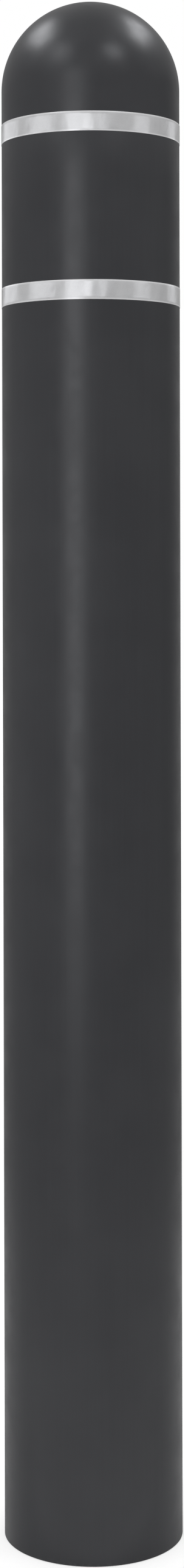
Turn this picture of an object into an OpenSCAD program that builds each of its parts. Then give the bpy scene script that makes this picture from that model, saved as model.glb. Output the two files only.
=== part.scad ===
/* [Post] */
// Outside diameter of the post that the sleeve covers, a six inch nominal pipe
post_d = 168.3; // [114.3:0.1:323.9]
// Radial room between the post and the fitted foam strips
grip_clearance = 0.075; // [0.025:0.025:0.175]

/* [Sleeve] */
// Height from the foot to the crown of the dome
sleeve_h = 1524; // [1000:1:2200]
// Thickness of the wall, in the tube and in the dome
sleeve_wall = 3.175; // [2.4:0.005:6.35]
// Edge break round the outside of the foot
foot_break = 0.6; // [0.2:0.1:0.8]
// Chamfer round the inside of the foot, which leads the post in
foot_lead_in = 0.8; // [0.2:0.1:1]

/* [Dome joint] */
// Height of the dome's straight skirt, down to its joint with the tube
skirt_h = 43.5; // [30:0.5:80]
// Height of the tongue that the tube pushes up inside the skirt
tongue_h = 12.7; // [6:0.1:20]
// Share of the wall's thickness that the tongue keeps
tongue_wall_share = 0.5; // [0.35:0.05:0.65]
// Radial room between the tongue and the skirt, filled when the joint is fused
tongue_clearance = 0.1; // [0.05:0.05:0.3]
// Room above the tongue, so that the skirt seats on the tube's shoulder
tongue_end_gap = 0.3; // [0.1:0.1:1]

/* [Reflective bands] */
// Width of the tape
tape_w = 19.05; // [12:0.05:38]
// Thickness of the tape
tape_t = 0.3; // [0.15:0.05:0.6]
// Length by which the tape's end laps over its start, at the back
tape_lap = 25.4; // [10:0.1:60]
// Drop from the upper band's centre to the lower band's centre
band_pitch = 162.2; // [60:0.1:400]

/* [Foam strips] */
// Thickness of a strip once the post has squeezed it
foam_t = 1.5; // [0.8:0.1:6]
// Width of a strip, along the curve of the bore
foam_w = 50.8; // [25.4:0.1:76.2]
// Length of a strip
foam_l = 304.8; // [100:0.1:400]
// Strips in each ring, evenly spaced
strips_per_ring = 4; // [3:1:6]
// Height of the lower strips above the foot
foam_foot_gap = 76.2; // [20:0.1:120]
// Drop from the dome joint to the tops of the upper strips
foam_joint_gap = 76.2; // [20:0.1:120]

/* [Hidden] */
$fn = 180;
full_turn = 360;
back_angle = 90;
// Length by which a cut runs past the surface that it opens
overrun = 1;

// The post fixes the bore, and the wall then fixes the outside
foam_r = post_d / 2 + grip_clearance;
bore_r = foam_r + foam_t;
outer_r = bore_r + sleeve_wall;

// Heights, from the dome downwards
spring_z = sleeve_h - outer_r;
joint_z = spring_z - skirt_h;
tongue_top_z = joint_z + tongue_h;
tongue_r = bore_r + sleeve_wall * tongue_wall_share;

// The upper band covers the dome joint
upper_band_z = joint_z;
lower_band_z = upper_band_z - band_pitch;

// The tape's end sinks halfway into the turn under it, so that the two are one piece
lap_inner_r = outer_r + tape_t / 2;
lap_outer_r = outer_r + 2 * tape_t;
lap_angle = full_turn * tape_lap / (2 * PI * outer_r);

// The strips stand between the corners of the compass, with one ring above the other
foam_angle = full_turn * foam_w / (2 * PI * bore_r);
strip_step = full_turn / strips_per_ring;
upper_strip_z = joint_z - foam_joint_gap - foam_l;
lower_strip_z = foam_foot_gap;

upper_strips = [for (i = [1:strips_per_ring]) str("upper_foam_strip_", i)];
lower_strips = [for (i = [1:strips_per_ring]) str("lower_foam_strip_", i)];

// Straight tube, chamfered at the foot, with a tongue at the top for the dome
module sleeve_tube() {
    color("#3c3d3f")
    rotate_extrude()
    polygon([
        [bore_r + foot_lead_in, 0],
        [outer_r - foot_break, 0],
        [outer_r, foot_break],
        [outer_r, joint_z],
        [tongue_r, joint_z],
        [tongue_r, tongue_top_z],
        [bore_r, tongue_top_z],
        [bore_r, foot_lead_in]
    ]);
}

// Half outline of a round-topped post of radius r, from height z up to its crown
module domed_outline(r, z) {
    intersection() {
        union() {
            translate([0, z])
            square([r, spring_z - z]);
            translate([0, spring_z])
            circle(r = r);
        }
        translate([0, z])
        square([r, spring_z + r - z]);
    }
}

// Hemispherical cap whose skirt is rebated inside to take the tube's tongue
module dome_cap() {
    rebate_r = tongue_r + tongue_clearance;
    rebate_h = tongue_h + tongue_end_gap;
    color("#3e3f41")
    rotate_extrude()
    difference() {
        domed_outline(outer_r, joint_z);
        domed_outline(bore_r, joint_z - overrun);
        translate([0, joint_z - overrun])
        square([rebate_r, rebate_h + overrun]);
    }
}

// Turn of tape whose end lies over its start at the back of the sleeve
module reflective_band(centre_z) {
    foot_z = centre_z - tape_w / 2;
    color("#c9c8c6") {
        rotate_extrude()
        translate([outer_r, foot_z])
        square([tape_t, tape_w]);
        rotate([0, 0, back_angle - lap_angle / 2])
        rotate_extrude(angle = lap_angle, start = 0)
        translate([lap_inner_r, foot_z])
        square([lap_outer_r - lap_inner_r, tape_w]);
    }
}

// One strip of foam on the bore, centred on a compass angle
module foam_strip(foot_z, angle) {
    color("#2b2b2c")
    rotate([0, 0, angle - foam_angle / 2])
    rotate_extrude(angle = foam_angle, start = 0)
    translate([foam_r, foot_z])
    square([foam_t, foam_l]);
}

sleeve_tube();
dome_cap();
reflective_band(upper_band_z);  // upper_reflective_band
reflective_band(lower_band_z);  // lower_reflective_band
for (i = [0:strips_per_ring - 1]) {
    strip_angle = (i + 1 / 2) * strip_step;
    foam_strip(upper_strip_z, strip_angle);
    foam_strip(lower_strip_z, strip_angle);
}
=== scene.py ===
"""Bollard cover sleeve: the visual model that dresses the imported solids.

A straight tube and a domed cap make the sleeve. Two turns of reflective tape go round it, and
foam strips on its bore grip the post. Lengths are in metres, +Z is up and +Y is the back.
"""

import logging
import math
from dataclasses import dataclass
from enum import Enum
from typing import Any

import bmesh
import bpy
from mathutils import Matrix, Vector


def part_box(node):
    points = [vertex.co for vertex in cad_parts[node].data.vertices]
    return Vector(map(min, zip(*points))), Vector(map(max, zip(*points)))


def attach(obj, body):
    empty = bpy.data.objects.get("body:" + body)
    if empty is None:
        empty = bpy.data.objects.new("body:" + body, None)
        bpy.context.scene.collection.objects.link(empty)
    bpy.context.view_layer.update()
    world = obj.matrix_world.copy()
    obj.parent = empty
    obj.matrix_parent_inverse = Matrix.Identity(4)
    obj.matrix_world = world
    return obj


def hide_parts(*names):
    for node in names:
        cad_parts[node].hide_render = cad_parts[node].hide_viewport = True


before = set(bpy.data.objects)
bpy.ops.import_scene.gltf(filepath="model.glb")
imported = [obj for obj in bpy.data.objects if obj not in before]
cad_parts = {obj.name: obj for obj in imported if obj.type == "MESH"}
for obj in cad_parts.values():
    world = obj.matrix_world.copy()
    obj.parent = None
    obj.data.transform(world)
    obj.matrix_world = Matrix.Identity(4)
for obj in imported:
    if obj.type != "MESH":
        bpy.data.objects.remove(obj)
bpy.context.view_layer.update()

LOG = logging.getLogger("bollard_cover")

Colour = tuple[float, float, float, float]
Pair = tuple[float, float]
Triple = tuple[float, float, float]
Socket = bpy.types.NodeSocket
Mesh = bmesh.types.BMesh
Vertex = bmesh.types.BMVert
Edge = bmesh.types.BMEdge

# The sleeve's axis, and the length under which two points count as one
AXIS_FOOT = Vector((0.0, 0.0, 0.0))
AXIS_UP = Vector((0.0, 0.0, 1.0))
SAME_POINT = 1e-6
QUARTER_TURN = math.pi / 2.0

# Steps round the sleeve for every turned piece, so that neighbours share their facets
TURN_STEPS = 240
# Edges bent more than this are drawn sharp
SHARP_ANGLE = math.radians(40.0)

# A share that grows from none to all, and one that shrinks from all to none
GROWS = (0.0, 1.0)
SHRINKS = (1.0, 0.0)
# The span that holds most of a soft noise
NOISE_SPAN = (0.35, 0.65)

BODY = "root"
STRIPS_PER_RING = 4
# The surround's white, and the lamps' white, which is a little cool
PLAIN_WHITE = (1.0, 1.0, 1.0, 1.0)
LAMP_WHITE = (0.96, 0.97, 1.0)


class Ring(Enum):
    """The two levels at which the sleeve carries tape outside and foam inside."""

    UPPER = "upper"
    LOWER = "lower"


# Where on the roll each turn of tape was cut from
ROLL_STARTS = {Ring.UPPER: 1.10, Ring.LOWER: 2.0086}


class Slot(Enum):
    """The record's material slots."""

    POLYETHYLENE = "charcoal_polyethylene"
    TAPE = "silver_reflective_tape"
    FOAM = "black_foam"


class Making(Enum):
    """How a polyethylene piece was made, which sets the marks in its skin."""

    EXTRUDED = "extruded"
    MOULDED = "moulded"


class Reach(Enum):
    """What a lamp lights. Only the first adds to the plain level of matt surfaces."""

    WHOLE = "matt and glossy surfaces"
    GLOSS = "reflections"
    TAPE = "reflections in the tape"


class NodeBoard:
    """Places and links the nodes of one material or world."""

    def __init__(self, tree: bpy.types.NodeTree) -> None:
        """Start from an empty tree."""
        tree.nodes.clear()
        self.tree = tree

    def add(self, kind: str, feeds: dict[Any, Any] | None = None, **settings: Any) -> bpy.types.Node:
        """Place one node.

        Args:
            kind: Blender's name for the kind of node.
            feeds: what goes into each input, by its name or number: a value or another socket.
            settings: the node's own properties.

        Returns:
            The node.
        """
        node = self.tree.nodes.new(kind)
        for name, value in settings.items():
            setattr(node, name, value)
        for key, value in (feeds or {}).items():
            self.feed(node.inputs[key], value)
        return node

    def feed(self, socket: Socket, value: Any) -> None:
        """Link another socket into this one, or set its value.

        Args:
            socket: the input.
            value: the other socket, or the value.
        """
        if isinstance(value, bpy.types.NodeSocket):
            self.tree.links.new(value, socket)
        else:
            socket.default_value = value

    def object_place(self) -> Socket:
        """Give the place on the piece, in metres."""
        return self.add("ShaderNodeTexCoord").outputs["Object"]

    def unrolled_place(self) -> Socket:
        """Give the place on the piece's own flat layout, in metres."""
        return self.add("ShaderNodeTexCoord").outputs["UV"]

    def coordinate(self, place: Socket, axis: str) -> Socket:
        """Give one coordinate of a place or a direction."""
        return self.add("ShaderNodeSeparateXYZ", {"Vector": place}).outputs[axis]

    def stretch(self, place: Socket, scale: Triple) -> Socket:
        """Scale a place along its three axes."""
        return self.add("ShaderNodeMapping", {"Vector": place, "Scale": scale}).outputs["Vector"]

    def slant(self, place: Socket, angle: float) -> Socket:
        """Turn a place on a flat layout by an angle."""
        feeds = {"Vector": place, "Rotation": (0.0, 0.0, angle)}
        return self.add("ShaderNodeMapping", feeds).outputs["Vector"]

    def noise(self, place: Socket, scale: float, detail: float = 2.0, rough: float = 0.5) -> Socket:
        """Give soft noise.

        Args:
            place: where it is read.
            scale: blotches in a metre.
            detail: layers of finer noise.
            rough: how strong the finer layers are.

        Returns:
            A socket between 0 and 1, mostly near a half.
        """
        feeds = {"Vector": place, "Scale": scale, "Detail": detail, "Roughness": rough}
        return self.add("ShaderNodeTexNoise", feeds).outputs["Fac"]

    def cells(self, place: Socket, scale: float) -> Socket:
        """Give the distance from the middle of the nearest of small round cells."""
        return self.add("ShaderNodeTexVoronoi", {"Vector": place, "Scale": scale}).outputs["Distance"]

    def remap(self, value: Socket, span: Pair, to: tuple[Any, Any]) -> Socket:
        """Ease a value from one span to another, and hold it there.

        Args:
            value: the value.
            span: its lowest and highest.
            to: what these become, as values or other sockets.

        Returns:
            The eased value.
        """
        feeds = {"Value": value, "From Min": span[0], "From Max": span[1]}
        feeds.update({"To Min": to[0], "To Max": to[1]})
        node = self.add("ShaderNodeMapRange", feeds, interpolation_type="SMOOTHSTEP")
        return node.outputs["Result"]

    def math(self, operation: str, first: Any, second: Any = 0.0) -> Socket:
        """Work out one sum of two values."""
        return self.add("ShaderNodeMath", {0: first, 1: second}, operation=operation).outputs["Value"]

    def weigh(self, values: tuple[Socket, ...], weights: tuple[float, ...]) -> Socket:
        """Add values up, each times its weight.

        Args:
            values: the values.
            weights: their weights, in the same order.

        Returns:
            The sum.
        """
        total = self.math("MULTIPLY", values[0], weights[0])
        for value, weight in zip(values[1:], weights[1:]):
            node = self.add("ShaderNodeMath", {0: value, 1: weight, 2: total}, operation="MULTIPLY_ADD")
            total = node.outputs["Value"]
        return total

    def blend(self, share: Socket, first: Any, second: Any) -> Socket:
        """Blend two colours.

        Args:
            share: the second colour's share, from 0 to 1.
            first: the first colour, or a socket that gives it.
            second: the second one.

        Returns:
            The blended colour.
        """
        node = self.add("ShaderNodeMix", data_type="RGBA")
        names = [socket.identifier for socket in node.inputs]
        for name, value in (("Factor_Float", share), ("A_Color", first), ("B_Color", second)):
            self.feed(node.inputs[names.index(name)], value)
        return next(out for out in node.outputs if out.identifier == "Result_Color")

    def bump(self, height: Socket, depth: float, under: Socket | None = None) -> Socket:
        """Turn a height from 0 to 1 into a surface normal.

        Args:
            height: the height.
            depth: depth of the relief, in metres.
            under: the normal of coarser relief that this one lies on, if any.

        Returns:
            The normal.
        """
        feeds = {"Height": height, "Distance": depth}
        if under is not None:
            feeds["Normal"] = under
        return self.add("ShaderNodeBump", feeds).outputs["Normal"]

    def glow(self, level: Socket) -> Socket:
        """Give a white glow of one level."""
        return self.add("ShaderNodeEmission", {"Strength": level}).outputs["Emission"]

    def surface(self, feeds: dict[str, Any]) -> None:
        """Place the surface shader, with its output."""
        shader = self.add("ShaderNodeBsdfPrincipled", feeds)
        self.add("ShaderNodeOutputMaterial", {"Surface": shader.outputs["BSDF"]})


def new_material(name: str) -> tuple[bpy.types.Material, NodeBoard]:
    """Make an empty material.

    Args:
        name: the material's name.

    Returns:
        The material, and the board for its nodes.
    """
    material = bpy.data.materials.new(name)
    material.use_nodes = True
    return material, NodeBoard(material.node_tree)


@dataclass(frozen=True)
class CharcoalPolyethylene:
    """Satin charcoal polyethylene, faintly mottled, with the marks of its making."""

    dark: Colour = (0.0241, 0.0248, 0.0285, 1.0)
    light: Colour = (0.0290, 0.0298, 0.0337, 1.0)
    scuffed: Colour = (0.0520, 0.0525, 0.0540, 1.0)
    roughness: Pair = (0.31, 0.38)
    ior: float = 1.55
    # Blotches in a metre
    cloud: float = 11.0
    sheen: float = 33.0
    die_lines: float = 430.0
    mould_marks: float = 44.0
    peel: float = 320.0
    grain: float = 2400.0
    scuffs: float = 260.0
    # How far die lines run along the tube for their width
    line_stretch: float = 0.012
    # Weights of the cloud, the marks and the grain in the colour, and the span of their sum that it uses
    tone_weights: Triple = (0.5, 0.2, 0.3)
    tone_span: Pair = (0.38, 0.62)
    # Weights of the marks, the peel and the grain in the tube's relief, and of the last two in the cap's
    extruded_weights: Triple = (0.30, 0.50, 0.20)
    moulded_weights: Pair = (0.80, 0.20)
    # Depth of the relief
    relief: float = 0.000018
    # Height above the foot up to which the edge is scuffed, and the noise's span from bare to scuffed
    scuff_height: float = 0.007
    scuff_span: Pair = (0.5, 0.66)
    scuff_most: float = 0.5

    def material(self, making: Making) -> bpy.types.Material:
        """Make the finish for a piece made in one of the two ways.

        Args:
            making: whether the piece was extruded or moulded.

        Returns:
            The material.
        """
        material, board = new_material(f"charcoal_{making.value}")
        place = board.object_place()
        cloud = board.noise(place, self.cloud, detail=3.0)
        grain = board.noise(place, self.grain, detail=1.0)
        peel = board.noise(place, self.peel)
        if making is Making.EXTRUDED:
            run = board.stretch(place, (1.0, 1.0, self.line_stretch))
            marks = board.noise(run, self.die_lines, detail=3.0)
            relief = board.weigh((marks, peel, grain), self.extruded_weights)
        else:
            marks = board.noise(place, self.mould_marks, detail=3.0)
            relief = board.weigh((peel, grain), self.moulded_weights)
        tone = board.remap(board.weigh((cloud, marks, grain), self.tone_weights), self.tone_span, GROWS)
        colour = board.blend(tone, self.dark, self.light)
        sheen = board.noise(place, self.sheen, detail=5.0, rough=0.6)
        if making is Making.EXTRUDED:
            colour = board.blend(self.foot_scuffs(board, place), colour, self.scuffed)
        board.surface({
            "Base Color": colour,
            "Roughness": board.remap(sheen, NOISE_SPAN, self.roughness),
            "Normal": board.bump(relief, self.relief),
            "IOR": self.ior,
        })
        return material

    def foot_scuffs(self, board: NodeBoard, place: Socket) -> Socket:
        """Give the share of scuffing, which is only at the foot's edge.

        Args:
            board: the material's nodes.
            place: the place on the tube.

        Returns:
            A share from 0 to about a half.
        """
        low = board.remap(board.coordinate(place, "Z"), (0.0, self.scuff_height), SHRINKS)
        noise = board.noise(place, self.scuffs, detail=4.0, rough=0.6)
        patches = board.remap(noise, self.scuff_span, (0.0, self.scuff_most))
        return board.math("MULTIPLY", low, patches)


@dataclass(frozen=True)
class SilverTape:
    """Silver reflective tape: fine glass beads on a bright backing, under a clear film."""

    dull: Colour = (0.490, 0.490, 0.498, 1.0)
    bright: Colour = (0.620, 0.620, 0.628, 1.0)
    # Lighter colour near both edges of the tape: a painted highlight
    edge: Colour = (0.780, 0.780, 0.788, 1.0)
    metallic: float = 0.38
    roughness: Pair = (0.20, 0.27)
    film: float = 0.30
    film_roughness: float = 0.16
    # Blotches in a metre
    beads: float = 5200.0
    rolling: float = 2600.0
    waves: float = 60.0
    # How far the rolling marks run along the tape, and the waves across it, for their width
    rolling_stretch: float = 0.02
    wave_stretch: float = 0.60
    # How far the waves lean, and how deep they and the fine relief are
    wave_slant: float = math.radians(14.0)
    waviness: float = 0.00070
    relief: float = 0.000008
    # Weights of the beads, the rolling marks and the waves in the colour, and the span that it uses
    tone_weights: Triple = (0.45, 0.12, 0.45)
    tone_span: Pair = (0.30, 0.65)
    # Weights of the beads and the rolling marks in the fine relief
    relief_weights: Pair = (0.85, 0.15)
    # The waves' span over which the roughness changes
    wave_span: Pair = (0.3, 0.7)
    # Width of the band of painted highlight along both edges of the tape
    highlight_band_width: float = 0.0017

    def material(self, tape_width: float) -> bpy.types.Material:
        """Make the finish for a tape of one width.

        Args:
            tape_width: the tape's width, which places the painted highlight along its edges.

        Returns:
            The material.
        """
        material, board = new_material("silver_tape")
        place = board.unrolled_place()
        beads = board.cells(place, self.beads)
        rolling = board.noise(board.stretch(place, (self.rolling_stretch, 1.0, 1.0)), self.rolling)
        leaning = board.slant(place, self.wave_slant)
        waves = board.noise(board.stretch(leaning, (1.0, self.wave_stretch, 1.0)), self.waves)
        tone = board.weigh((beads, rolling, waves), self.tone_weights)
        colour = board.blend(board.remap(tone, self.tone_span, GROWS), self.dull, self.bright)
        from_middle = board.math("ABSOLUTE", board.coordinate(place, "Y"))
        side = tape_width / 2.0
        highlight_span = (side - self.highlight_band_width, side - self.highlight_band_width / 2.0)
        # Share of the painted highlight, which grows over the last stretch before each edge of the tape
        pressed = board.remap(from_middle, highlight_span, GROWS)
        wavy = board.bump(waves, self.waviness)
        fine = board.weigh((beads, rolling), self.relief_weights)
        board.surface({
            "Base Color": board.blend(pressed, colour, self.edge),
            "Metallic": self.metallic,
            "Roughness": board.remap(waves, self.wave_span, self.roughness),
            "Normal": board.bump(fine, self.relief, wavy),
            "Coat Weight": self.film,
            "Coat Roughness": self.film_roughness,
        })
        return material


@dataclass(frozen=True)
class BlackFoam:
    """Closed-cell black foam with a cut, pitted skin, painted darker in the low ground between its cells
    as painted shade, and mottled at random.
    """

    # Colour of the painted shade in the low ground between the cells; the raised cells keep the skin
    # colour
    pit_shade: Colour = (0.0120, 0.0120, 0.0125, 1.0)
    skin: Colour = (0.0360, 0.0360, 0.0365, 1.0)
    roughness: float = 0.92
    # Cells and blotches in a metre
    cell: float = 1500.0
    mottle: float = 140.0
    # Weights of the cells and the mottling in the colour, and the span of their sum that it uses
    tone_weights: Pair = (0.7, 0.6)
    tone_span: Pair = (0.35, 0.85)
    # Depth of the relief
    relief: float = 0.00016

    def material(self) -> bpy.types.Material:
        """Make the finish.

        Returns:
            The material.
        """
        material, board = new_material("black_foam")
        place = board.object_place()
        cells = board.cells(place, self.cell)
        mottle = board.noise(place, self.mottle, detail=3.0)
        # The colour darkens where the relief is low, which is painted shade, and varies with random
        # mottling
        tone = board.remap(board.weigh((cells, mottle), self.tone_weights), self.tone_span, GROWS)
        board.surface({
            "Base Color": board.blend(tone, self.skin, self.pit_shade),
            "Roughness": self.roughness,
            "Normal": board.bump(board.math("SUBTRACT", 1.0, cells), self.relief),
        })
        return material


def draw_outline(bm: Mesh, corners: list[Pair]) -> list[Vertex]:
    """Draw the corners of a turned piece's half outline.

    Args:
        bm: the mesh.
        corners: radius and height of each corner, in order.

    Returns:
        The corners.
    """
    return [bm.verts.new((radius, 0.0, height)) for radius, height in corners]


def turn(bm: Mesh) -> None:
    """Spin the half outline into a closed piece about the sleeve's axis.

    Args:
        bm: the mesh, which holds the outline alone.
    """
    bmesh.ops.spin(
        bm,
        geom=bm.verts[:] + bm.edges[:],
        cent=AXIS_FOOT,
        axis=AXIS_UP,
        angle=math.tau,
        steps=TURN_STEPS,
        use_merge=True,
    )
    bmesh.ops.remove_doubles(bm, verts=bm.verts[:], dist=SAME_POINT)
    bmesh.ops.recalc_face_normals(bm, faces=bm.faces[:])


def cut_flat(bm: Mesh, size: Pair, steps: tuple[int, int], thickness: float) -> None:
    """Cut a flat strip, centred on the origin, with its back at height 0.

    Args:
        bm: the mesh.
        size: the strip's reach along X and along Y.
        steps: facets along X and along Y.
        thickness: the strip's thickness.
    """
    spread = Matrix.Diagonal((*size, 1.0, 1.0))
    bmesh.ops.create_grid(bm, x_segments=steps[0], y_segments=steps[1], size=0.5, matrix=spread)
    bmesh.ops.recalc_face_normals(bm, faces=bm.faces[:])
    bmesh.ops.solidify(bm, geom=bm.faces[:], thickness=thickness)
    lowest = min(v.co.z for v in bm.verts)
    bmesh.ops.translate(bm, verts=bm.verts[:], vec=(0.0, 0.0, -lowest))


def sharp_edges(bm: Mesh) -> list[Edge]:
    """Find the edges that are bent enough to be sharp."""
    return [edge for edge in bm.edges if edge.calc_face_angle(0.0) > SHARP_ANGLE]


def sharp_between(bm: Mesh, lowest: float, highest: float) -> list[Edge]:
    """Find the sharp edges that lie between two heights."""
    return [edge for edge in sharp_edges(bm) if all(lowest <= v.co.z <= highest for v in edge.verts)]


def round_edges(bm: Mesh, edges: list[Edge], size: float, segments: int) -> None:
    """Round edges over.

    Args:
        bm: the mesh.
        edges: the edges.
        size: how far the rounding reaches from the edge.
        segments: facets across the rounding.
    """
    bmesh.ops.bevel(
        bm,
        geom=edges,
        offset=size,
        offset_type="OFFSET",
        affect="EDGES",
        segments=segments,
        profile=0.5,
        material=-1,
    )


def about_axis(radius: float, angle: float, height: float) -> Vector:
    """Give the point at a radius, an angle and a height about the sleeve's axis."""
    return Vector((radius * math.cos(angle), radius * math.sin(angle), height))


def make_piece(
    bm: Mesh, name: str, finish: bpy.types.Material, node: str
) -> bpy.types.Object:
    """Turn a finished mesh into a piece that stands for one solid.

    Args:
        bm: the mesh, which is used up.
        name: the piece's name.
        finish: its material.
        node: the solid that it stands for.

    Returns:
        The piece, riding on the sleeve's one body.
    """
    for face in bm.faces:
        face.smooth = True
    for edge in bm.edges:
        edge.smooth = edge.calc_face_angle(0.0) < SHARP_ANGLE
    mesh = bpy.data.meshes.new(name)
    bm.to_mesh(mesh)
    bm.free()
    mesh.materials.append(finish)
    piece = bpy.data.objects.new(name, mesh)
    bpy.context.scene.collection.objects.link(piece)
    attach(piece, BODY)
    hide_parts(node)
    LOG.info("%s stands for %s with %d faces", name, node, len(mesh.polygons))
    return piece


@dataclass
class SleeveTube:
    """The straight extruded tube, with a thinned tongue at its top for the dome."""

    outer_radius: float
    joint_z: float
    tongue_top_z: float
    wall: float = 0.003175
    tongue_share: float = 0.5
    foot_rounding: float = 0.0006
    lead_in: float = 0.0008
    foot_facets: int = 3
    edge_rounding: float = 0.0002
    edge_facets: int = 2
    wall_rows: int = 28

    @classmethod
    def from_frame(cls) -> "SleeveTube":
        """Read the tube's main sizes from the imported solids."""
        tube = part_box("sleeve_tube")[1]
        return cls(outer_radius=tube.x, joint_z=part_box("dome_cap")[0].z, tongue_top_z=tube.z)

    @property
    def bore_radius(self) -> float:
        """Radius of the bore."""
        return self.outer_radius - self.wall

    @property
    def tongue_radius(self) -> float:
        """Outer radius of the tongue."""
        return self.bore_radius + self.wall * self.tongue_share

    def build(self, finish: CharcoalPolyethylene) -> bpy.types.Object:
        """Build the tube.

        Args:
            finish: the polyethylene.

        Returns:
            The tube's piece.
        """
        bm = bmesh.new()
        corners = draw_outline(bm, [
            (self.bore_radius, 0.0),
            (self.outer_radius, 0.0),
            (self.outer_radius, self.joint_z),
            (self.tongue_radius, self.joint_z),
            (self.tongue_radius, self.tongue_top_z),
            (self.bore_radius, self.tongue_top_z),
        ])
        sides = [bm.edges.new(pair) for pair in zip(corners, corners[1:] + corners[:1])]
        walls = [side for side in sides if side.calc_length() > self.joint_z / 2.0]
        bmesh.ops.subdivide_edges(bm, edges=walls, cuts=self.wall_rows - 1)
        turn(bm)
        foot = sharp_between(bm, 0.0, SAME_POINT)
        middle = self.outer_radius - self.wall / 2.0
        mouth = [edge for edge in foot if edge.verts[0].co.xy.length < middle]
        rim = [edge for edge in foot if edge.verts[0].co.xy.length > middle]
        round_edges(bm, mouth, self.lead_in, self.foot_facets)
        round_edges(bm, rim, self.foot_rounding, self.foot_facets)
        tongue = sharp_between(bm, self.joint_z - SAME_POINT, math.inf)
        round_edges(bm, tongue, self.edge_rounding, self.edge_facets)
        material = finish.material(Making.EXTRUDED)
        return make_piece(bm, "tube_shell", material, "sleeve_tube")


@dataclass
class DomeCap:
    """The moulded cap: half a sphere on a straight skirt that is rebated inside for the tongue."""

    outer_radius: float
    bore_radius: float
    rebate_radius: float
    joint_z: float
    rebate_top_z: float
    crown_z: float
    edge_rounding: float = 0.0002
    edge_facets: int = 2
    arc_steps: int = 48
    skirt_rows: int = 8

    @classmethod
    def for_tube(
        cls, tube: SleeveTube, radial_room: float = 0.0001, end_room: float = 0.0003
    ) -> "DomeCap":
        """Size the cap to sit on a tube.

        Args:
            tube: the tube.
            radial_room: room round the tongue.
            end_room: room above it.

        Returns:
            The cap.
        """
        return cls(
            outer_radius=tube.outer_radius,
            bore_radius=tube.bore_radius,
            rebate_radius=tube.tongue_radius + radial_room,
            joint_z=tube.joint_z,
            rebate_top_z=tube.tongue_top_z + end_room,
            crown_z=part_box("dome_cap")[1].z,
        )

    @property
    def spring_z(self) -> float:
        """Height at which the dome springs from the skirt."""
        return self.crown_z - self.outer_radius

    def arc(self, bm: Mesh, start: Vertex) -> None:
        """Draw a quarter circle from the spring line up to the sleeve's axis.

        Args:
            bm: the mesh.
            start: the corner on the spring line.
        """
        centre = Vector((0.0, 0.0, self.spring_z))
        drawn = bmesh.ops.spin(
            bm,
            geom=[start],
            cent=centre,
            axis=(0.0, 1.0, 0.0),
            angle=-QUARTER_TURN,
            steps=self.arc_steps,
        )
        pole = next(item for item in drawn["geom_last"] if isinstance(item, Vertex))
        pole.co = centre + AXIS_UP * start.co.x

    def build(self, finish: CharcoalPolyethylene) -> bpy.types.Object:
        """Build the cap.

        Args:
            finish: the polyethylene.

        Returns:
            The cap's piece.
        """
        bm = bmesh.new()
        corners = draw_outline(bm, [
            (self.bore_radius, self.spring_z),
            (self.bore_radius, self.rebate_top_z),
            (self.rebate_radius, self.rebate_top_z),
            (self.rebate_radius, self.joint_z),
            (self.outer_radius, self.joint_z),
            (self.outer_radius, self.spring_z),
        ])
        sides = [bm.edges.new(pair) for pair in zip(corners, corners[1:])]
        self.arc(bm, corners[0])
        self.arc(bm, corners[-1])
        bmesh.ops.subdivide_edges(bm, edges=[sides[0], sides[-1]], cuts=self.skirt_rows - 1)
        turn(bm)
        skirt = sharp_between(bm, self.joint_z - SAME_POINT, self.rebate_top_z + SAME_POINT)
        round_edges(bm, skirt, self.edge_rounding, self.edge_facets)
        material = finish.material(Making.MOULDED)
        return make_piece(bm, "dome_shell", material, "dome_cap")


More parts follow.
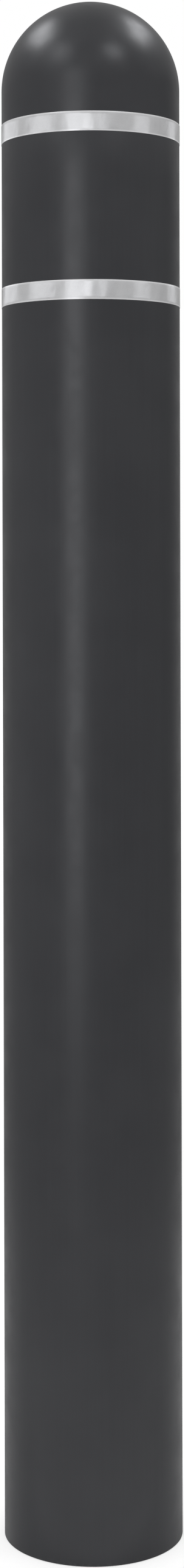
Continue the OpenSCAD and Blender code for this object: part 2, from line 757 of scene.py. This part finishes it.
@dataclass
class ReflectiveBand:
    """One turn of tape, whose end lies over its start at the back of the sleeve."""

    ring: Ring
    sleeve_radius: float
    middle_z: float
    width: float
    # Where on the roll the turn was cut from
    roll_start: float
    thickness: float = 0.00028
    lap: float = 0.0254
    # Room that keeps the tape's back off the sleeve's facets
    bond: float = 0.00001
    # Length over which the end climbs on to the start
    climb: float = 0.006
    corner_rounding: float = 0.0010
    corner_facets: int = 4
    edge_rounding: float = 0.00008
    edge_facets: int = 2
    back_angle: float = QUARTER_TURN
    steps_along: int = 400
    steps_across: int = 6

    @classmethod
    def from_frame(cls, ring: Ring, tube: SleeveTube) -> "ReflectiveBand":
        """Read one band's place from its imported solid.

        Args:
            ring: which of the two bands.
            tube: the tube that it goes round.

        Returns:
            The band.
        """
        low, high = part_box(f"{ring.value}_reflective_band")
        return cls(ring, tube.outer_radius, (low.z + high.z) / 2.0, high.z - low.z, ROLL_STARTS[ring])

    @property
    def turn_length(self) -> float:
        """Length of tape in one full turn."""
        return math.tau * self.sleeve_radius

    @property
    def length(self) -> float:
        """Length of tape from end to end."""
        return self.turn_length + self.lap

    def lift(self, along: float) -> float:
        """Give how far the tape is lifted off the sleeve, at a distance from its start."""
        rise = min(max((along - self.turn_length + self.climb) / self.climb, 0.0), 1.0)
        return (self.thickness + self.bond) * rise * rise * (3.0 - 2.0 * rise)

    def wrap(self, flat: Vector) -> Vector:
        """Carry a point of the flat tape to its place on the sleeve.

        Args:
            flat: distance along from the middle, across from the middle, and above the tape's back.

        Returns:
            The point on the sleeve.
        """
        along = flat.x + self.length / 2.0
        angle = self.back_angle + (along - self.lap / 2.0) / self.sleeve_radius
        radius = self.sleeve_radius + self.bond + self.lift(along) + flat.z
        return about_axis(radius, angle, self.middle_z + flat.y)

    def is_corner(self, edge: Edge) -> bool:
        """Tell whether an edge stands at one of the flat tape's four corners."""
        far = (self.length / 2.0 - SAME_POINT, self.width / 2.0 - SAME_POINT)
        return all(abs(v.co.x) > far[0] and abs(v.co.y) > far[1] for v in edge.verts)

    def build(self, material: bpy.types.Material) -> bpy.types.Object:
        """Cut the tape flat, round its edges and wrap it round the sleeve.

        Args:
            material: the tape's finish.

        Returns:
            The band's piece.
        """
        bm = bmesh.new()
        steps = (self.steps_along, self.steps_across)
        cut_flat(bm, (self.length, self.width), steps, self.thickness)
        corners = [edge for edge in bm.edges if self.is_corner(edge)]
        round_edges(bm, corners, self.corner_rounding, self.corner_facets)
        face_edges = sharp_between(bm, self.thickness - SAME_POINT, math.inf)
        round_edges(bm, face_edges, self.edge_rounding, self.edge_facets)
        layout = bm.loops.layers.uv.new("unrolled")
        for face in bm.faces:
            for loop in face.loops:
                loop[layout].uv = loop.vert.co.xy + Vector((self.roll_start, 0.0))
        for vert in bm.verts:
            vert.co = self.wrap(vert.co)
        node = f"{self.ring.value}_reflective_band"
        return make_piece(bm, f"{self.ring.value}_tape_turn", material, node)


@dataclass
class FoamStrip:
    """One self-adhesive foam strip on the bore, pressed to its fitted thickness."""

    ring: Ring
    number: int
    bore_radius: float
    foot_z: float
    length: float
    angle: float
    width: float = 0.0508
    thickness: float = 0.0015
    # Room that keeps the strip's back off the bore's facets
    bond: float = 0.00002
    edge_rounding: float = 0.0005
    edge_facets: int = 3
    # How much of its thickness the strip loses towards its rim, and how late it does so
    # on the way to its sides and to its ends
    crown: float = 0.16
    side_power: int = 4
    end_power: int = 16
    fill: float = 0.9
    steps_across: int = 20
    steps_along: int = 60

    @classmethod
    def from_frame(cls, ring: Ring, number: int, tube: SleeveTube) -> "FoamStrip":
        """Read one strip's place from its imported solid.

        Args:
            ring: which of the two rings it belongs to.
            number: its number in the ring.
            tube: the tube that it is stuck in.

        Returns:
            The strip.
        """
        low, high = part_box(f"{ring.value}_foam_strip_{number}")
        middle = (low + high) / 2.0
        angle = math.atan2(middle.y, middle.x)
        return cls(ring, number, tube.bore_radius, low.z, high.z - low.z, angle)

    def wrap(self, flat: Vector) -> Vector:
        """Carry a point of the flat strip to its place on the bore.

        Args:
            flat: across and along from the middle, and above the strip's glued back.

        Returns:
            The point in the bore.
        """
        aside = (2.0 * flat.x / self.width) ** self.side_power
        along = (2.0 * flat.y / self.length) ** self.end_power
        swell = 1.0 - self.crown * (aside + along * (1.0 - aside))
        radius = self.bore_radius - self.bond - flat.z * swell
        angle = self.angle + flat.x / self.bore_radius
        return about_axis(radius, angle, self.foot_z + self.length / 2.0 + flat.y)

    def build(self, material: bpy.types.Material) -> bpy.types.Object:
        """Cut the strip flat, round its edges and press it on the bore.

        Args:
            material: the foam's finish.

        Returns:
            The strip's piece.
        """
        bm = bmesh.new()
        steps = (self.steps_across, self.steps_along)
        cut_flat(bm, (self.width, self.length), steps, self.thickness - 2.0 * self.bond)
        sharp = [edge for edge in sharp_edges(bm) if any(v.co.z > self.bond for v in edge.verts)]
        round_edges(bm, sharp, self.edge_rounding, self.edge_facets)
        for vert in bm.verts:
            vert.co = self.wrap(vert.co)
        bmesh.ops.recalc_face_normals(bm, faces=bm.faces[:])
        node = f"{self.ring.value}_foam_strip_{self.number}"
        piece = make_piece(bm, f"{self.ring.value}_foam_pad_{self.number}", material, node)
        return piece


@dataclass(frozen=True)
class SoftBox:
    """One soft rectangular lamp that faces the sleeve's axis."""

    name: str
    # Degrees round the sleeve from the camera's side, to the right
    azimuth: float
    distance: float
    height: float
    # Height of the point on the axis that it faces
    aim_z: float
    width: float
    tall: float
    # How bright its face is
    radiance: float
    reach: Reach

    @classmethod
    def tape_strip(cls, name: str, azimuth: float, width: float, radiance: float) -> "SoftBox":
        """Make one of the lamps for the tape, which stand in one ring and differ only in what is given.

        Args:
            name: the lamp's name.
            azimuth: its place round the sleeve.
            width: its width.
            radiance: how bright it is.

        Returns:
            The lamp.
        """
        return cls(
            name, azimuth, distance=2.2, height=1.62, aim_z=1.30,
            width=width, tall=0.60, radiance=radiance, reach=Reach.TAPE,
        )

    def place(self, tape_pieces: bpy.types.Collection) -> None:
        """Set the lamp up.

        Args:
            tape_pieces: the pieces that a lamp for the tape alone lights.
        """
        turn_angle = math.radians(self.azimuth)
        spot = Vector((math.sin(turn_angle), -math.cos(turn_angle), 0.0)) * self.distance
        spot.z = self.height
        light = bpy.data.lights.new(self.name, "AREA")
        light.shape = "RECTANGLE"
        light.size, light.size_y = self.width, self.tall
        light.energy = self.radiance * math.pi * self.width * self.tall
        light.color = LAMP_WHITE
        lamp = bpy.data.objects.new(self.name, light)
        lamp.location = spot
        lamp.rotation_mode = "QUATERNION"
        lamp.rotation_quaternion = (Vector((0.0, 0.0, self.aim_z)) - spot).to_track_quat("-Z", "Y")
        lamp.visible_camera = False
        lamp.visible_diffuse = self.reach is Reach.WHOLE
        if self.reach is Reach.TAPE:
            lamp.light_linking.receiver_collection = tape_pieces
        bpy.context.scene.collection.objects.link(lamp)
        LOG.info("%s lights %s", self.name, self.reach.value)


@dataclass
class Studio:
    """A plain pale floor, soft lamps, a white surround and the photograph's camera."""

    floor_radius: float = 3.0
    floor_sides: int = 96
    floor_drop: float = 0.0003
    floor_pale: Colour = (0.66, 0.66, 0.66, 1.0)
    floor_paler: Colour = (0.70, 0.70, 0.70, 1.0)
    # Blotches in a metre
    floor_mottle: float = 6.0
    # Level that is added, for the camera alone, to the floor near the sleeve
    floor_glow: float = 0.50
    # The floor's level in reflections just before the sleeve, the share of the surround's level that
    # is mixed into it further back, and the span before the axis over which the one turns into the other
    floor_reflected: float = 0.66
    floor_hold: float = 0.35
    floor_turn: Pair = (-0.13, -0.04)
    # Distances from the sleeve between which the floor fades into the white surround
    fade: Pair = (0.5, 1.6)
    # Level of the surround as the camera sees it, and as it lights matt surfaces
    white: float = 1.0
    ambient: float = 0.92
    # Its level in reflections, beside the sleeve and overhead
    reflected: Pair = (0.32, 0.44)
    # How far up a direction points where it counts as overhead
    overhead: float = 0.85
    # The way to the surround's dim side, behind on the right, how near to it a direction points where
    # the dimming starts and is full, and the share of the level that is left there
    dim_side: Triple = (0.866, 0.5, 0.0)
    dim_span: Pair = (0.90, 0.99)
    dim_share: float = 0.62
    # The camera: its sensor along the picture's long side and its lens, both in millimetres, its place,
    # its roll, and its shift as a share of the picture's long side
    sensor: float = 36.0
    lens: float = 56.09
    camera_place: Triple = (0.0005, -2.4389, 0.9623)
    camera_roll: float = 0.0024
    camera_shift: float = -0.1386

    def lamps(self) -> list[SoftBox]:
        """List the lamps: two for the tube's wall, high ones for the dome, and strips for the tape.

        Returns:
            The lamps.
        """
        return [
            SoftBox(
                "left_front_wall", azimuth=-21.2, distance=2.2, height=1.20, aim_z=1.20,
                width=0.80, tall=1.86, radiance=1.55, reach=Reach.WHOLE,
            ),
            SoftBox(
                "left_wall", azimuth=-80.0, distance=2.2, height=0.88, aim_z=0.88,
                width=2.40, tall=1.05, radiance=0.12, reach=Reach.GLOSS,
            ),
            SoftBox(
                "high_left", azimuth=-108.0, distance=1.17, height=2.85, aim_z=1.48,
                width=1.10, tall=0.52, radiance=5.5, reach=Reach.GLOSS,
            ),
            SoftBox(
                "high_right", azimuth=115.0, distance=1.17, height=2.88, aim_z=1.48,
                width=1.15, tall=0.52, radiance=4.5, reach=Reach.GLOSS,
            ),
            SoftBox(
                "high_front_left", azimuth=-45.0, distance=1.58, height=2.72, aim_z=1.48,
                width=0.60, tall=0.55, radiance=3.3, reach=Reach.GLOSS,
            ),
            SoftBox(
                "high_front_right", azimuth=35.0, distance=1.52, height=2.78, aim_z=1.48,
                width=0.60, tall=0.55, radiance=3.0, reach=Reach.GLOSS,
            ),
            SoftBox.tape_strip("left_strip", azimuth=-65.5, width=1.40, radiance=1.06),
            SoftBox.tape_strip("left_back_strip", azimuth=-127.8, width=1.53, radiance=0.88),
            SoftBox.tape_strip("front_strip", azimuth=-3.8, width=0.38, radiance=2.50),
            SoftBox.tape_strip("right_front_strip", azimuth=14.0, width=0.30, radiance=1.38),
            SoftBox.tape_strip("right_strip", azimuth=67.0, width=0.80, radiance=0.86),
            SoftBox.tape_strip("right_back_strip", azimuth=127.0, width=0.78, radiance=0.76),
        ]

    def set_up(self, tape_pieces: list[bpy.types.Object]) -> None:
        """Set the whole studio up.

        Args:
            tape_pieces: the turns of tape, which have lamps of their own.
        """
        bpy.context.scene.view_settings.view_transform = "Standard"
        self.surround()
        self.floor()
        self.camera()
        tape_group = bpy.data.collections.new("tape_turns")
        for piece in tape_pieces:
            tape_group.objects.link(piece)
        for lamp in self.lamps():
            lamp.place(tape_group)

    def seen(self, board: NodeBoard) -> tuple[Socket, Socket]:
        """Tell rays from the camera, and rays from a reflection or through clear matter.

        Args:
            board: the nodes.

        Returns:
            Two sockets, each 1 for its rays and 0 for others.
        """
        rays = board.add("ShaderNodeLightPath").outputs
        mirrored = board.math("MAXIMUM", rays["Is Glossy Ray"], rays["Is Transmission Ray"])
        return rays["Is Camera Ray"], mirrored

    def surround(self) -> None:
        """Make the white surround, which lights the sleeve at a plain level."""
        world = bpy.data.worlds.new("white_surround")
        bpy.context.scene.world = world
        world.use_nodes = True
        world.cycles.sampling_method = "NONE"
        board = NodeBoard(world.node_tree)
        from_camera, mirrored = self.seen(board)
        direction = board.add("ShaderNodeTexCoord").outputs["Generated"]
        rise = board.coordinate(direction, "Z")
        shown = board.remap(rise, (0.0, self.overhead), self.reflected)
        feeds = {0: direction, 1: self.dim_side}
        aside = board.add("ShaderNodeVectorMath", feeds, operation="DOT_PRODUCT").outputs["Value"]
        dimming = board.remap(aside, self.dim_span, (1.0, self.dim_share))
        shown = board.math("MULTIPLY", shown, dimming)
        level = board.remap(mirrored, GROWS, (self.ambient, shown))
        level = board.math("MAXIMUM", level, board.math("MULTIPLY", from_camera, self.white))
        light = board.add("ShaderNodeBackground", {"Color": PLAIN_WHITE, "Strength": level})
        board.add("ShaderNodeOutputWorld", {"Surface": light.outputs["Background"]})

    def floor(self) -> None:
        """Lay the pale floor, which keeps the sleeve's shadow and fades to white further off."""
        bm = bmesh.new()
        low = Matrix.Translation((0.0, 0.0, -self.floor_drop))
        bmesh.ops.create_circle(
            bm, cap_ends=True, segments=self.floor_sides, radius=self.floor_radius, matrix=low
        )
        mesh = bpy.data.meshes.new("pale_floor")
        bm.to_mesh(mesh)
        bm.free()
        mesh.materials.append(self.floor_finish())
        floor = bpy.data.objects.new("pale_floor", mesh)
        bpy.context.scene.collection.objects.link(floor)

    def floor_finish(self) -> bpy.types.Material:
        """Make the floor's finish.

        Returns:
            The material: matt and pale near the sleeve, where it takes the shadow, white to the camera
            further off, and at levels of its own in reflections.
        """
        material, board = new_material("pale_floor")
        place = board.object_place()
        from_camera, mirrored = self.seen(board)
        near = self.near_floor(board, place, from_camera)
        distance = board.add("ShaderNodeVectorMath", {0: place}, operation="LENGTH").outputs["Value"]
        away = board.remap(distance, self.fade, GROWS)
        before = board.remap(board.coordinate(place, "Y"), self.floor_turn, SHRINKS)
        close = board.math("MULTIPLY", before, board.remap(distance, self.fade, SHRINKS))
        shown = board.remap(close, GROWS, (self.reflected[0], self.floor_reflected))
        level = board.math("MAXIMUM", board.math("MULTIPLY", mirrored, shown), from_camera)
        white = board.glow(board.math("MULTIPLY", level, self.white))
        fading = board.math("MULTIPLY", board.math("MAXIMUM", from_camera, mirrored), away)
        held = board.math("MULTIPLY", mirrored, board.remap(before, GROWS, (self.floor_hold, 1.0)))
        share = board.math("MAXIMUM", fading, held)
        mixed = board.add("ShaderNodeMixShader", {0: share, 1: near, 2: white})
        board.add("ShaderNodeOutputMaterial", {"Surface": mixed.outputs["Shader"]})
        return material

    def near_floor(self, board: NodeBoard, place: Socket, from_camera: Socket) -> Socket:
        """Shade the floor near the sleeve.

        Args:
            board: the floor's nodes.
            place: the place on the floor.
            from_camera: 1 for rays from the camera.

        Returns:
            The matt, pale floor, which glows a little to the camera.
        """
        mottle = board.noise(place, self.floor_mottle, detail=3.0)
        colour = board.blend(board.remap(mottle, NOISE_SPAN, GROWS), self.floor_pale, self.floor_paler)
        pale = board.add("ShaderNodeBsdfDiffuse", {"Color": colour}).outputs["BSDF"]
        glow = board.glow(board.math("MULTIPLY", from_camera, self.floor_glow))
        return board.add("ShaderNodeAddShader", {0: pale, 1: glow}).outputs["Shader"]

    def camera(self) -> None:
        """Set the camera up, level and shifted down to take the whole sleeve in."""
        data = bpy.data.cameras.new("photo_camera")
        data.sensor_width = self.sensor
        data.lens = self.lens
        data.shift_y = self.camera_shift
        camera = bpy.data.objects.new("photo_camera", data)
        level = Matrix.Rotation(QUARTER_TURN, 4, "X")
        roll = Matrix.Rotation(self.camera_roll, 4, "Y")
        camera.matrix_world = Matrix.Translation(self.camera_place) @ roll @ level
        bpy.context.scene.collection.objects.link(camera)
        bpy.context.scene.camera = camera


def main() -> None:
    """Build the sleeve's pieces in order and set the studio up."""
    logging.basicConfig(level=logging.INFO, format="%(message)s")
    tube = SleeveTube.from_frame()
    polyethylene = CharcoalPolyethylene()
    tube.build(polyethylene)
    DomeCap.for_tube(tube).build(polyethylene)
    bands = [ReflectiveBand.from_frame(ring, tube) for ring in Ring]
    tape = SilverTape().material(bands[0].width)
    tape_pieces = [band.build(tape) for band in bands]
    foam = BlackFoam().material()
    for ring in Ring:
        for number in range(1, STRIPS_PER_RING + 1):
            FoamStrip.from_frame(ring, number, tube).build(foam)
    Studio().set_up(tape_pieces)


if __name__ == "__main__":
    main()
